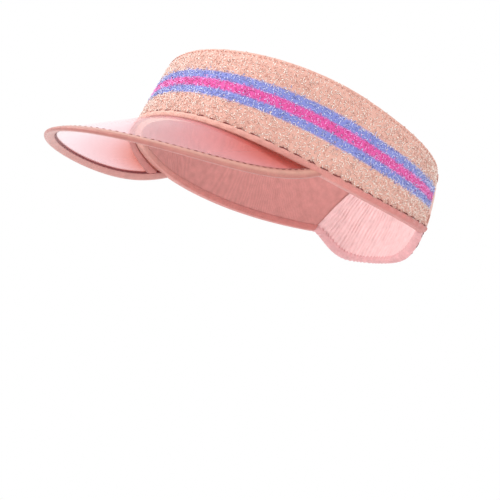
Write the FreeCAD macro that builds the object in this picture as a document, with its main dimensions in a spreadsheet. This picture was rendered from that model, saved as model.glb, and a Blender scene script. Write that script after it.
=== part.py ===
import FreeCAD, Part
import Sketcher
import os

# Sun visor: a striped terry headband, an arched clear bill and a ruched elastic nape.
# Millimetres. The band is modelled level: X to the wearer's left, front at -Y, Z up.
# The finished visor is then tipped by rest_tilt and moved by rest_shift and rest_lift:
# it stands on its bill rim and its nape hem, with the origin under its middle.

os.makedirs("parts", exist_ok=True)
doc = FreeCAD.newDocument("sun_visor")
Vector = FreeCAD.Vector
Placement = FreeCAD.Placement
Rotation = FreeCAD.Rotation

DIMENSIONS = {
    # band wall: three level egg shapes, each two half ellipses that meet at its widest line
    "low_level": -26.0,
    "low_half_width": 80.3,
    "low_widest_y": -0.8,
    "low_front": 101.6,
    "low_back": 115.8,
    "mid_level": 14.0,
    "mid_half_width": 82.4,
    "mid_widest_y": -7.7,
    "mid_front": 83.1,
    "mid_back": 113.0,
    "high_level": 58.0,
    "high_half_width": 83.6,
    "high_widest_y": -15.4,
    "high_front": 61.8,
    "high_back": 109.6,
    # nape wall: flatter ellipses about the Z axis, pulled in towards the neck at the foot
    "nape_low_half_width": 93.0,
    "nape_low_half_length": 93.5,
    "nape_mid_half_width": 87.0,
    "nape_mid_half_length": 100.5,
    "nape_high_half_width": 80.0,
    "nape_high_half_length": 95.0,
    # lower (foot) and upper (head) edges of the band, seen from the side: heights just
    # ahead of the brow, over the ears, and at the slanted seams with the nape section
    "front_y": -104.0,
    "ear_y": -3.4,
    "seam_foot_y": 77.0,
    "seam_lean": 0.28,
    "foot_front": 2.2,
    "foot_ear": -11.3,
    "foot_seam": -5.6,
    "head_front": 52.6,
    "head_ear": 41.4,
    "head_seam": 37.7,
    # layers of the band
    "terry_thick": 1.8,
    "foam_thick": 2.0,
    "lining_thick": 0.7,
    "tape_thick": 0.8,
    "hem_height": 3.6,
    "seam_tape_width": 7.0,
    "top_seam_drop": 1.5,
    # ruched nape section
    "nape_gap": 0.4,
    "nape_inset": 0.8,
    "cover_thick": 0.8,
    "elastic_thick": 1.6,
    "nape_dip_y": 88.0,
    "nape_head_y": 98.0,
    "nape_back_y": 112.0,
    "nape_foot": -20.5,
    "nape_head": 26.0,
    "elastic_margin": 4.0,
    "channel_spacing": 12.0,
    # bill: an elliptical arch that falls forward, cut to an oval plan
    "bill_slope": 29.5,
    "arch_half_width": 82.0,
    "arch_rise": 61.1,
    "arch_base": -14.5,
    "arch_start": 27.0,
    "bill_thick": 0.8,
    "plan_half_width": 78.1,
    "plan_half_length": 124.9,
    "plan_centre": -30.6,
    "plan_floor": -50.0,
    "zone_reach": 220.0,
    "zone_depth": 20.0,
    "bill_tape_thick": 1.1,
    "rim_side": 2.0,
    "rim_front": 6.2,
    "stitch_share": 0.8,
    "root_tape_width": 3.0,
    # sewing thread
    "thread_radius": 0.25,
    "thread_lift": 0.5,
    "seam_pitch": 3.6,
    "hem_pitch": 9.0,
    # blank care label inside the band
    "label_width": 14.0,
    "label_height": 20.0,
    "label_thick": 0.4,
    "label_x": 77.0,
    "label_y": 45.0,
    "label_turn": 113.0,
    # bar tacks on the seams
    "tack_pitch": 0.75,
    "tack_width": 4.0,
    # how the visor stands
    "rest_tilt": -3.7856,
    "rest_shift": 28.81,
    "rest_lift": 27.52,
}
LEVELS = ("low", "mid", "high")
SPAN = 260.0
ROD_LENGTH = 200.0
POST_HEIGHT = 80.0
TACK_STITCHES = 8
STITCH_SHARE = 0.68
WALL = "Dims.terry_thick + Dims.foam_thick + Dims.lining_thick"
SIDE_VIEW = Rotation(Vector(1, 1, 1), 120)

sheet = doc.addObject("Spreadsheet::Sheet", "Dims")
for row, (alias, value) in enumerate(DIMENSIONS.items(), start=1):
    sheet.set(f"A{row}", alias)
    sheet.set(f"B{row}", str(value))
    sheet.setAlias(f"B{row}", alias)
doc.recompute()
parts = []


def dim(expression):
    """Value of an expression of sheet cells."""
    return float(sheet.evalExpression(expression))


def bind(feature, bindings):
    for path, expression in bindings.items():
        feature.setExpression(path, expression)


def boolean(kind, name, base, tool):
    feature = doc.addObject(f"Part::{kind}", name)
    feature.Base = base
    feature.Tool = tool
    return feature


def keep(feature, label):
    """Name a finished sub-part and stand it in its resting place."""
    feature.Label = label
    tip = Rotation(Vector(1, 0, 0), dim("Dims.rest_tilt"))
    stand = Vector(0, dim("Dims.rest_shift"), dim("Dims.rest_lift"))
    feature.Placement = Placement(stand, tip)
    if feature.TypeId != "Part::Feature":
        bind(feature, {"Placement.Base.y": "Dims.rest_shift",
                       "Placement.Base.z": "Dims.rest_lift",
                       "Placement.Rotation.Angle": "Dims.rest_tilt"})
    parts.append(feature)


# --- walls and outlines that the sub-parts are cut from ----------------------------------

def oval(name, half_width, half_length, centre, level, start=90):
    """Ellipse in a level plane with its long axis along Y; start is where it closes."""
    ring = doc.addObject("Part::Ellipse", name)
    ring.Placement = Placement(Vector(0, 0, 0), Rotation(Vector(0, 0, 1), start))
    bind(ring, {"MinorRadius": half_width, "MajorRadius": half_length,
                "Placement.Base.y": centre, "Placement.Base.z": level})
    return ring


def half_oval(name, half_width, half_length, level, front):
    """Front or back half of a level ellipse that is centred on the widest line."""
    arc = doc.addObject("Part::Ellipse", name)
    along_y = dim(half_length) >= dim(half_width)
    major, minor = (half_length, half_width) if along_y else (half_width, half_length)
    arc.Placement = Placement(Vector(0, 0, 0), Rotation(Vector(0, 0, 1), 90 * along_y))
    start = (180 * front - 90 * along_y) % 360
    arc.Angle1 = start
    arc.Angle2 = (start + 180) % 360
    bind(arc, {"MajorRadius": major, "MinorRadius": minor,
               "Placement.Base.y": f"Dims.{level}_widest_y",
               "Placement.Base.z": f"Dims.{level}_level"})
    return arc


def loft(name, rings):
    solid = doc.addObject("Part::Loft", name)
    solid.Sections = rings
    solid.Solid = True
    return solid


def wall(name, inset):
    """Solid inside the band's barrel-shaped outer surface, moved inwards by inset."""
    rings = []
    for level in LEVELS:
        width = f"Dims.{level}_half_width - ({inset})"
        ring = doc.addObject("Part::Compound", f"{name}_{level}")
        ring.Links = [half_oval(f"{name}_{level}_{end}", width,
                                f"Dims.{level}_{end} - ({inset})", level, end == "front")
                      for end in ("front", "back")]
        rings.append(ring)
    return loft(name, rings)


def nape_wall(name, inset):
    """Solid inside the nape section's outer surface, moved inwards by inset."""
    return loft(name, [
        oval(f"{name}_{level}", f"Dims.nape_{level}_half_width - ({inset})",
             f"Dims.nape_{level}_half_length - ({inset})", "0", f"Dims.{level}_level",
             start=-90)
        for level in LEVELS])


def extrusion(name, base, direction, length, symmetric=False):
    solid = doc.addObject("Part::Extrusion", name)
    solid.Base = base
    solid.DirMode = "Custom"
    solid.Dir = direction
    solid.LengthFwd = length
    solid.Symmetric = symmetric
    solid.Solid = True
    return solid


def pin_point(sketch, geometry, point, place):
    """Hold a sketch point at a place given by two expressions of sheet cells."""
    for kind, expression in zip(("DistanceX", "DistanceY"), place):
        rule = Sketcher.Constraint(kind, -1, 1, geometry, point, dim(expression))
        number = sketch.addConstraint(rule)
        sketch.setExpression(f"Constraints[{number}]", expression)


def sketch_point(place):
    return Vector(dim(place[0]), dim(place[1]), 0)


def side_block(name, corners, bows):
    """Side outline as wide as the visor; a side with a bow is an arc through that point."""
    sketch = doc.addObject("Sketcher::SketchObject", f"{name}_outline")
    sketch.Placement = Placement(Vector(0, 0, 0), SIDE_VIEW)
    sides = []
    for index, corner in enumerate(corners):
        start = sketch_point(corner)
        stop = sketch_point(corners[(index + 1) % len(corners)])
        if index in bows:
            curve = Part.Arc(start, sketch_point(bows[index]), stop)
        else:
            curve = Part.LineSegment(start, stop)
        side = sketch.addGeometry(curve, False)
        forward = sketch.getPoint(side, 1).distanceToPoint(start) < 1e-6
        sides.append((side, 1, 2) if forward else (side, 2, 1))
    for index, (side, first, last) in enumerate(sides):
        following, near_end, _ = sides[(index + 1) % len(sides)]
        sketch.addConstraint(Sketcher.Constraint("Coincident", side, last, following, near_end))
        pin_point(sketch, side, first, corners[index])
    for index, place in bows.items():
        mark = sketch.addGeometry(Part.Point(sketch_point(place)), True)
        pin_point(sketch, mark, 1, place)
        sketch.addConstraint(Sketcher.Constraint("PointOnObject", mark, 1, sides[index][0]))
    return extrusion(name, sketch, Vector(1, 0, 0), SPAN, symmetric=True)


def seam_y(height):
    """Place along Y of the slanted seam at a height."""
    return f"Dims.seam_foot_y + Dims.seam_lean * ({height} - Dims.foot_seam)"


def band_line(edge, rise="0", short="0"):
    """Front, ear and seam points of a band edge, moved up by rise and cut short."""
    heights = [f"Dims.{edge}_{place} + ({rise})" for place in ("front", "ear", "seam")]
    return [("Dims.front_y", heights[0]), ("Dims.ear_y", heights[1]),
            (f"{seam_y(heights[2])} - ({short})", heights[2])]


def band_block(name, low, high):
    front_low, ear_low, seam_low = band_line(*low)
    front_high, ear_high, seam_high = band_line(*high)
    return side_block(name, [front_low, seam_low, seam_high, front_high],
                      {0: ear_low, 2: ear_high})


def nape_line(edge, rise="0", start="Dims.nape_gap"):
    """Seam, dip and back points of a nape edge, moved up by rise."""
    bend = {"foot": "Dims.nape_dip_y", "head": "Dims.nape_head_y"}[edge]
    seam_height = f"Dims.{edge}_seam + ({rise})"
    height = f"Dims.nape_{edge} + ({rise})"
    return [(f"{seam_y(seam_height)} + {start}", seam_height), (bend, height),
            ("Dims.nape_back_y", height)]


def nape_block(name, low, high):
    return side_block(name, nape_line(*low) + nape_line(*high)[::-1], {})


SINE = "sin(Dims.bill_slope * 1deg)"
COSINE = "cos(Dims.bill_slope * 1deg)"


def bill_zone():
    """Box along the fall of the bill that holds the upper half of its arch."""
    box = doc.addObject("Part::Box", "bill_zone")
    box.Length = SPAN
    box.Width = SPAN
    box.Height = SPAN
    fall = Rotation(Vector(1, 0, 0), dim("Dims.bill_slope"))
    box.Placement = Placement(Vector(-SPAN / 2, 0, 0), fall)
    bind(box, {"Placement.Rotation.Angle": "Dims.bill_slope",
               "Placement.Base.y": f"Dims.zone_depth * {SINE} - Dims.zone_reach * {COSINE}",
               "Placement.Base.z": f"-Dims.zone_depth * {COSINE} - Dims.zone_reach * {SINE}"})
    return box


def plan_post(name, share="0", outset="0"):
    """Upright post whose outline is the bill seen from above.

    share moves it in by that share of the rim, which is narrow at the steep sides as seen
    from above and so equally wide along the sheet. outset moves it out all round.
    """
    ring = oval(f"{name}_outline",
                f"Dims.plan_half_width - ({share}) * Dims.rim_side + ({outset})",
                f"Dims.plan_half_length - ({share}) * Dims.rim_front + ({outset})",
                "Dims.plan_centre", "Dims.plan_floor")
    return extrusion(name, ring, Vector(0, 0, 1), POST_HEIGHT)


def arch_rod(name, rise):
    """Elliptical rod along the fall of the bill, standing proud of its sheet by rise."""
    slope = dim("Dims.bill_slope")
    across = Rotation(Vector(1, 0, 0), 90 + slope)
    ring = doc.addObject("Part::Ellipse", f"{name}_outline")
    ring.Placement = Placement(Vector(0, 0, 0), across)
    bind(ring, {"MajorRadius": f"Dims.arch_half_width + ({rise})",
                "MinorRadius": f"Dims.arch_rise + ({rise})",
                "Placement.Rotation.Angle": "90 + Dims.bill_slope",
                "Placement.Base.y": f"-Dims.arch_base * {SINE} - Dims.arch_start * {COSINE}",
                "Placement.Base.z": f"Dims.arch_base * {COSINE} - Dims.arch_start * {SINE}"})
    return extrusion(name, ring, across.multVec(Vector(0, 0, 1)), ROD_LENGTH)


def layer(name, outer, inner, block):
    """Shell between two nested walls, trimmed by a block."""
    shell = boolean("Cut", f"{name}_between", outer, inner)
    return boolean("Common", f"{name}_layer", shell, block)


# --- sewing -------------------------------------------------------------------------------

def side_sheet(points, bowed):
    """Sheet as wide as the visor through a side line given by sheet expressions."""
    places = [Vector(0, dim(y), dim(z)) for y, z in points]
    if bowed:
        line = Part.Arc(*places).toShape()
    else:
        line = Part.makePolygon(places)
    line.translate(Vector(-SPAN / 2, 0, 0))
    return line.extrude(Vector(SPAN, 0, 0))


def stitch(start, stop, share=STITCH_SHARE):
    """One stitch between two needle holes; the thread shows for a share of the way."""
    way = stop - start
    first = start + way * ((1 - share) / 2)
    return Part.makeCylinder(dim("Dims.thread_radius"), way.Length * share, first, way)


def stitch_runs(edges, pitch):
    """Stitches a pitch apart along each connected run of edges."""
    stitches = []
    for run in Part.sortEdges(edges):
        line = Part.Wire(run)
        count = max(2, round(line.Length / dim(pitch)))
        holes = line.discretize(Number=count + 1)
        stitches += [stitch(*pair) for pair in zip(holes[:-1], holes[1:])]
    return stitches


def sewn(label, stitches):
    """A group of stitches as one sub-part."""
    thread = doc.addObject("Part::Feature", f"{label}_thread")
    thread.Shape = Part.makeCompound(stitches)
    keep(thread, label)


# --- band ---------------------------------------------------------------------------------

face = wall("wall_face", "0")
behind_terry = wall("wall_behind_terry", "Dims.terry_thick")
behind_foam = wall("wall_behind_foam", "Dims.terry_thick + Dims.foam_thick")
inside = wall("wall_inside", WALL)
tape_face = wall("wall_tape_face", "-Dims.tape_thick")
tape_inside = wall("wall_tape_inside", f"{WALL} + Dims.tape_thick")
band_side = band_block("band_side", ("foot",), ("head",))
under_turning = band_block("under_turning_side", ("foot",), ("head", "-Dims.terry_thick"))


def terry_shell():
    """Striped towelling on the outside, turned over the upper edge."""
    sleeve = layer("terry", face, behind_foam, band_side)
    filling = boolean("Common", "terry_filling", behind_terry, under_turning)
    keep(boolean("Cut", "terry_turned", sleeve, filling), "terry_shell")


def foam_core():
    keep(layer("foam", behind_terry, behind_foam, under_turning), "foam_core")


def inner_lining():
    keep(layer("lining", behind_foam, inside, band_side), "inner_lining")


def hem_binding():
    """Bias tape folded over the lower edge of all the band's layers."""
    strip = band_block("hem_side", ("foot", "-Dims.tape_thick"), ("foot", "Dims.hem_height"))
    wrap = layer("hem", tape_face, tape_inside, strip)
    filling = layer("hem_filling", face, inside, band_side)
    keep(boolean("Cut", "hem_folded", wrap, filling), "hem_binding")


def seam_tapes():
    """A strip over the end of the towelling on each side, above the hem."""
    low, high = "Dims.foot_seam + Dims.hem_height", "Dims.head_seam"
    corners = [(f"{seam_y(low)} - Dims.seam_tape_width", low), (seam_y(low), low),
               (seam_y(high), high), (f"{seam_y(high)} - Dims.seam_tape_width", high)]
    strips = layer("seam", tape_face, face, side_block("seam_side", corners, {}))
    for side, corner_x in (("left", 0), ("right", -SPAN / 2)):
        half = doc.addObject("Part::Box", f"{side}_half")
        half.Placement = Placement(Vector(corner_x, -SPAN / 2, -SPAN / 2), Rotation())
        half.Length = SPAN / 2
        half.Width = SPAN
        half.Height = SPAN
        keep(boolean("Common", f"{side}_strip", strips, half), f"seam_tape_{side}")


def care_label():
    """Blank label sewn flat inside the band."""
    patch = doc.addObject("Part::Box", "label_patch")
    turn = Rotation(Vector(0, 0, 1), dim("Dims.label_turn"))
    patch.Placement = Placement(Vector(0, 0, 0), turn)
    bind(patch, {"Length": "Dims.label_width", "Width": "20", "Height": "Dims.label_height",
                 "Placement.Base.x": "Dims.label_x", "Placement.Base.y": "Dims.label_y",
                 "Placement.Base.z": "Dims.foot_seam + Dims.hem_height + 3"})
    label_inside = wall("wall_label_inside", f"{WALL} + Dims.label_thick")
    keep(layer("label", inside, label_inside, patch), "care_label")


# --- bill ---------------------------------------------------------------------------------

HALF_SHEET = "Dims.bill_thick / 2"
plan = plan_post("plan")
upper_zone = bill_zone()


def arched_plate(name, top, bottom, post):
    """Plate between two rises of the arch, inside a plan outline and outside the band."""
    tunnel = boolean("Cut", f"{name}_tunnel", arch_rod(f"{name}_top", top),
                     arch_rod(f"{name}_bottom", bottom))
    arch = boolean("Common", f"{name}_arch", tunnel, upper_zone)
    trimmed = boolean("Common", f"{name}_trimmed", arch, post)
    return boolean("Cut", f"{name}_plate", trimmed, tape_face)


def bill_sheet():
    sheet_plate = arched_plate("sheet", HALF_SHEET, f"-{HALF_SHEET}", plan)
    keep(sheet_plate, "bill_sheet")
    return sheet_plate


def bill_binding():
    """Bias tape folded over the outer edge of the sheet."""
    rise = f"{HALF_SHEET} + Dims.bill_tape_thick"
    rim = boolean("Cut", "rim", plan_post("rim_outside", outset="Dims.bill_tape_thick"),
                  plan_post("rim_inside", "1"))
    wrap = arched_plate("binding", rise, f"-({rise})", rim)
    filling = arched_plate("binding_filling", HALF_SHEET, f"-{HALF_SHEET}", plan)
    keep(boolean("Cut", "binding_folded", wrap, filling), "bill_binding")


def bill_root_tape():
    """Tape under the root of the bill, between its binding ends."""
    collar = wall("wall_root", "-Dims.tape_thick - Dims.root_tape_width")
    inner_plan = plan_post("root_plan", "1")
    strip = arched_plate("root", f"-{HALF_SHEET}", f"-{HALF_SHEET} - Dims.tape_thick",
                         inner_plan)
    keep(boolean("Common", "root_strip", strip, collar), "bill_root_tape")


def side_face(feature):
    """The face round a rod or post, without its end faces."""
    return max(feature.Shape.Faces, key=lambda surface: surface.Area)


def bill_seam(label, rise):
    """Stitch line along the bill's binding, at a rise above the sheet's middle."""
    rod = arch_rod(f"{label}_rod", rise)
    post = plan_post(f"{label}_post", "Dims.stitch_share")
    doc.recompute()
    line = side_face(rod).section(side_face(post)).common(upper_zone.Shape)
    outside = line.cut(tape_face.Shape)
    sewn(label, stitch_runs(outside.Edges, "Dims.seam_pitch"))


# --- nape ---------------------------------------------------------------------------------

COVER_BACK = "Dims.nape_inset + Dims.cover_thick"
ELASTIC_BACK = f"{COVER_BACK} + Dims.elastic_thick"
INSIDE_BACK = f"{ELASTIC_BACK} + Dims.cover_thick"
nape_face = nape_wall("nape_wall_face", "Dims.nape_inset")
nape_behind_cover = nape_wall("nape_wall_cover", COVER_BACK)
nape_behind_elastic = nape_wall("nape_wall_elastic", ELASTIC_BACK)
nape_inside = nape_wall("nape_wall_inside", INSIDE_BACK)
nape_side = nape_block("nape_side", ("foot",), ("head",))


def nape_covers():
    """Ruched fabric on both faces of the elastic; the outer one closes the top."""
    sleeve = boolean("Cut", "cover_between", nape_face, nape_behind_elastic)
    past_seam = "Dims.nape_gap - 3"
    pocket_side = nape_block("cover_pocket_side", ("foot", "-2", past_seam),
                             ("head", "-Dims.cover_thick", past_seam))
    pocket = boolean("Common", "cover_pocket", nape_behind_cover, pocket_side)
    turned = boolean("Cut", "cover_turned", sleeve, pocket)
    keep(boolean("Common", "cover_outer", turned, nape_side), "nape_cover_outer")
    keep(layer("cover_inner", nape_behind_elastic, nape_inside, nape_side),
         "nape_cover_inner")


def nape_elastic():
    strip = nape_block("elastic_side", ("foot", "Dims.elastic_margin"),
                       ("head", "-Dims.elastic_margin"))
    keep(layer("elastic", nape_behind_cover, nape_behind_elastic, strip), "nape_elastic")


def nape_hem_binding():
    """Bias tape round the lower edge of the nape section: two legs and the fold."""
    strip = nape_block("nape_leg_side", ("foot", "-Dims.tape_thick"),
                       ("foot", "Dims.hem_height"))
    fold_start = "Dims.nape_gap + 0.2"
    below = nape_block("nape_fold_side", ("foot", "-0.9 * Dims.tape_thick", fold_start),
                       ("foot", "-0.4 * Dims.tape_thick", fold_start))
    outer = nape_wall("nape_wall_tape_face", "Dims.nape_inset - Dims.tape_thick")
    inner = nape_wall("nape_wall_tape_inside", f"{INSIDE_BACK} + Dims.tape_thick")
    fold_outside = nape_wall("nape_wall_fold_face", "Dims.nape_inset - Dims.tape_thick / 2")
    fold_inside = nape_wall("nape_wall_fold_inside", f"{INSIDE_BACK} + Dims.tape_thick / 2")
    folded = doc.addObject("Part::MultiFuse", "nape_hem_folded")
    folded.Shapes = [layer("nape_outer_leg", outer, nape_face, strip),
                     layer("nape_inner_leg", nape_inside, inner, strip),
                     layer("nape_fold", fold_outside, fold_inside, below)]
    keep(folded, "nape_hem_binding")


# --- threads ------------------------------------------------------------------------------

def wall_seam(surface, lines, bowed, pitch):
    """Stitches where side lines meet a wall."""
    stitches = []
    for points in lines:
        meeting = surface.Shape.section(side_sheet(points, bowed))
        stitches += stitch_runs(meeting.Edges, pitch)
    return stitches


def bar_tacks(surface):
    """Close rows of stitches that lock both ends of each seam tape."""
    tacks = []
    for end, direction in (("Dims.foot_seam + Dims.hem_height + 2", 1),
                           ("Dims.head_seam - 2", -1)):
        for number in range(TACK_STITCHES):
            height = f"{end} + {direction * number} * Dims.tack_pitch"
            back = f"{seam_y(height)} - 1.5"
            row = [(f"{back} - Dims.tack_width", height), (back, height)]
            for edge in surface.Shape.section(side_sheet(row, False)).Edges:
                ends = edge.Vertexes[0].Point, edge.Vertexes[-1].Point
                tacks.append(stitch(*ends, share=0.95))
    return tacks


def make_threads():
    on_face = wall("thread_on_face", "-Dims.thread_lift")
    on_tape = wall("thread_on_tape", "-Dims.tape_thick - Dims.thread_lift")
    on_nape = nape_wall("thread_on_nape", "Dims.nape_inset - Dims.thread_lift")
    on_nape_tape = nape_wall("thread_on_nape_tape",
                             "Dims.nape_inset - Dims.tape_thick - Dims.thread_lift")
    doc.recompute()
    hem_rise = "Dims.hem_height - 1"
    sewn("hem_topstitch",
         wall_seam(on_tape, [band_line("foot", hem_rise)], True, "Dims.hem_pitch"))
    sewn("top_edge_stitch",
         wall_seam(on_face, [band_line("head", "-Dims.top_seam_drop",
                                       "Dims.seam_tape_width + 1")], True, "Dims.seam_pitch"))
    sewn("seam_bar_tacks", bar_tacks(on_tape))
    rows = [nape_line("foot", f"{row} * Dims.channel_spacing") for row in (1, 2, 3)]
    sewn("nape_channel_stitch", wall_seam(on_nape, rows, False, "Dims.seam_pitch"))
    sewn("nape_hem_stitch",
         wall_seam(on_nape_tape, [nape_line("foot", hem_rise)], False, "Dims.hem_pitch"))


terry_shell()
foam_core()
inner_lining()
hem_binding()
seam_tapes()
care_label()
bill_sheet()
bill_binding()
bill_root_tape()
nape_covers()
nape_elastic()
nape_hem_binding()
doc.recompute()
make_threads()
TAPE_TOP = f"{HALF_SHEET} + Dims.bill_tape_thick + Dims.thread_lift"
bill_seam("bill_stitch_upper", TAPE_TOP)
bill_seam("bill_stitch_lower", f"-({TAPE_TOP})")
doc.recompute()

# --- check and export ---------------------------------------------------------------------

for feature in doc.Objects:
    if "Invalid" in feature.State or "Error" in feature.State:
        raise RuntimeError(f"{feature.Name} failed: {feature.State}")
for part in parts:
    if part.Shape.isNull() or not part.Shape.isValid() or not part.Shape.Solids:
        raise RuntimeError(f"{part.Label} has no sound shape")
for part in parts:
    part.Shape.exportStep(f"parts/{part.Label}.step")
    print(part.Label, len(part.Shape.Solids), round(part.Shape.Volume, 1))
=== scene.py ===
"""Sun visor: a striped terry headband, an arched clear bill and a ruched elastic nape.

The pieces are worked out in the band's own frame, in millimetres: the band level, X to the
wearer's left, front at -Y, Z up. to_row() stands them in the row frame, in metres.
"""
import math

import bmesh
import bpy
import numpy as np
from mathutils import Matrix, Vector


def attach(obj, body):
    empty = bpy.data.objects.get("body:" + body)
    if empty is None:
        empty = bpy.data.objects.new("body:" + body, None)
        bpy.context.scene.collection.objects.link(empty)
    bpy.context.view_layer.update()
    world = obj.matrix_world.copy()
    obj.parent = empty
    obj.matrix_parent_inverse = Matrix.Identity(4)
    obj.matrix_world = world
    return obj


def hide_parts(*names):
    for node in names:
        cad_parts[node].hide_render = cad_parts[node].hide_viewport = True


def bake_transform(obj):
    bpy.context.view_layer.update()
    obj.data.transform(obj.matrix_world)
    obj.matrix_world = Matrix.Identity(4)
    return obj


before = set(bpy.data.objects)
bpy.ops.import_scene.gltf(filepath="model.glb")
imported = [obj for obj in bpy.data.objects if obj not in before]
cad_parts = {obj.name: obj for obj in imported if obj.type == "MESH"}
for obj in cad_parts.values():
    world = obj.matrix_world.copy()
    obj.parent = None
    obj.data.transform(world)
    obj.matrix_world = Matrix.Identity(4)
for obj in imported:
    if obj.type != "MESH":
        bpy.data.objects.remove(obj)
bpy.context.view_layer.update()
rng = np.random.default_rng(7)
MM = 0.001

# --- the band's own frame and how it stands ------------------------------------------------

REST_TILT = math.radians(-3.7856)
REST_PLACE = Vector((0, 28.81, 27.52))
TO_ROW = (Matrix.Diagonal((MM, MM, MM, 1)) @ Matrix.Translation(REST_PLACE)
          @ Matrix.Rotation(REST_TILT, 4, "X"))


def to_row(points):
    """Band-frame millimetres to row-frame metres, for an array of points."""
    matrix = np.array(TO_ROW)
    return points @ matrix[:3, :3].T + matrix[:3, 3]


# --- camera, floor and light ---------------------------------------------------------------

WORN_TIP = math.radians(22.04)       # how far the worn visor tips its bill up
VIEW_TURN = math.radians(53.39)      # from straight ahead towards the wearer's left
VIEW_RISE = math.radians(1.17)
VIEW_DISTANCE = 1557.7
VIEW_ASIDE = (16.88, 45.39)          # where the camera's axis passes the band's centre
FOCAL_SHARE = 5.0804                 # focal length over the width of the sensor
SENSOR_WIDTH = 36.0
FLOOR_DROP = 0.33                    # the worn view looks up at the resting visor
FLOOR_RADIUS = 6


def add_camera():
    """The camera stands level before the worn visor, which is tipped up from how it rests."""
    data = bpy.data.cameras.new("camera")
    data.sensor_width = SENSOR_WIDTH
    data.lens = FOCAL_SHARE * SENSOR_WIDTH
    data.clip_start = 0.05
    camera = bpy.data.objects.new("camera", data)
    bpy.context.scene.collection.objects.link(camera)
    right = Vector((math.cos(VIEW_TURN), math.sin(VIEW_TURN), 0))
    level = math.cos(VIEW_RISE)
    back = Vector((math.sin(VIEW_TURN) * level, -math.cos(VIEW_TURN) * level,
                   math.sin(VIEW_RISE)))
    worn_to_band = Matrix.Rotation(WORN_TIP, 3, "X")
    right, back = worn_to_band @ right, worn_to_band @ back
    up = back.cross(right)
    place = back * VIEW_DISTANCE - right * VIEW_ASIDE[0] - up * VIEW_ASIDE[1]
    turned = Matrix((right, up, back)).transposed()
    upright = Matrix.Rotation(REST_TILT, 3, "X") @ turned
    camera.matrix_world = Matrix.Translation(TO_ROW @ place) @ upright.to_4x4()
    bpy.context.scene.camera = camera


add_camera()


def area_light(name, place, aim, size, power):
    """A round lamp of a size in metres and a power in watts, aimed at a point."""
    data = bpy.data.lights.new(name, "AREA")
    data.shape = "DISK"
    data.size = size
    data.energy = power
    lamp = bpy.data.objects.new(name, data)
    bpy.context.scene.collection.objects.link(lamp)
    lamp.location = place
    lamp.rotation_euler = (Vector(aim) - Vector(place)).to_track_quat("-Z", "Y").to_euler()


def studio():
    """Even white surroundings, a key and a side lamp, and a plain pale floor."""
    scene = bpy.context.scene
    scene.view_settings.view_transform = "Standard"
    world = bpy.data.worlds.new("studio")
    scene.world = world
    world.use_nodes = True
    background = world.node_tree.nodes["Background"]
    background.inputs["Color"].default_value = (1, 1, 1, 1)
    background.inputs["Strength"].default_value = 1.0
    middle = (0, 0, 0.05)
    area_light("key", (-0.9, -1.3, 1.3), middle, size=0.9, power=26)
    area_light("side", (1.6, -0.6, 0.5), middle, size=0.8, power=7)
    bpy.ops.mesh.primitive_circle_add(vertices=64, radius=FLOOR_RADIUS,
                                      fill_type="NGON", location=(0, 0, -FLOOR_DROP))
    floor = bpy.context.object
    floor.name = "floor"
    floor.data.materials.append(plain("floor", FLOOR_GREY, roughness=0.8)[0])


# --- materials -----------------------------------------------------------------------------

PEACH = (0.98, 0.66, 0.58)
LAVENDER = (0.45, 0.49, 0.88)
HOT_PINK = (0.98, 0.22, 0.60)
HEM_PINK = (0.62, 0.20, 0.18)
# painted light: the hem tape's paler colour at the front, where it is lit
HEM_LIT_FRONT = (0.84, 0.46, 0.37)
BIAS_TAN = (0.50, 0.19, 0.15)
# painted light and shade on the bias binding: a painted highlight on its ridge, painted shade
# round its edge
BIAS_RIDGE_HIGHLIGHT = (0.63, 0.30, 0.23)
BIAS_EDGE_SHADE = (0.46, 0.15, 0.13)
BIAS_UNDER = (0.60, 0.27, 0.24)
# painted shadow: the dark lines along the binding's inner edges
SHADOW_MAROON = (0.20, 0.015, 0.02)
SEAM_PEACH = (0.84, 0.50, 0.43)
# a dusty pink lining, made deeper as painted shade for the shaded head seen through the bill
LINING_SHADE_PINK = (0.64, 0.27, 0.25)
NAPE_PINK = (0.92, 0.58, 0.58)
NAPE_HEM_PINK = (0.80, 0.40, 0.41)
# the root tape's deep red: partly its colour, partly painted shade under the bill's root
ROOT_TAPE_SHADE_RED = (0.62, 0.23, 0.21)
BILL_PINK = (0.94, 0.68, 0.68)
LABEL_WHITE = (0.80, 0.77, 0.74)
THREAD_RED = (0.22, 0.035, 0.035)
THREAD_PEACH = (0.70, 0.34, 0.27)
FLOOR_GREY = (0.9, 0.9, 0.9)
SHEEN_ROUGHNESS = 0.4

# across the binding: a painted shadow line at the inner edge above, a painted highlight on the
# ridge, painted shade round the edge, a paler pinker face below, and a painted shadow line at
# the inner edge below
BIAS_LIGHT_AND_SHADE = ((0.0, SHADOW_MAROON), (0.05, BIAS_TAN), (0.2, BIAS_RIDGE_HIGHLIGHT), (0.34, BIAS_TAN),
              (0.5, BIAS_EDGE_SHADE), (0.62, BIAS_UNDER), (0.89, BIAS_UNDER), (0.94, SHADOW_MAROON))
# tint of one face of the vinyl, from where painted shade makes it deepest to where it is
# clearest
# its deep end is painted shade: the shaded head behind the bill, and the shadow along its root
VINYL_TINTS_AND_SHADE = ((0.0, (0.83, 0.47, 0.42)), (0.15, (0.91, 0.60, 0.57)),
               (0.5, (0.96, 0.76, 0.77)), (0.77, (0.97, 0.84, 0.86)),
               (0.9, (0.99, 0.90, 0.92)), (1.0, (1.0, 0.94, 0.95)))
VINYL_IOR = 1.52
GLOSS_SHARE = 0.24                   # of the reflection of a hard, clean face
LEAST_GLOSS = 0.03                   # added to it everywhere

# stripes of the towelling, as shares of the way down from its upper edge
STRIPES = ((0.0, PEACH), (0.31, LAVENDER), (0.42, HOT_PINK), (0.54, LAVENDER), (0.645, PEACH))
STRIPE_EDGE = 0.012
STRIPE_WANDER = 0.03
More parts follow.
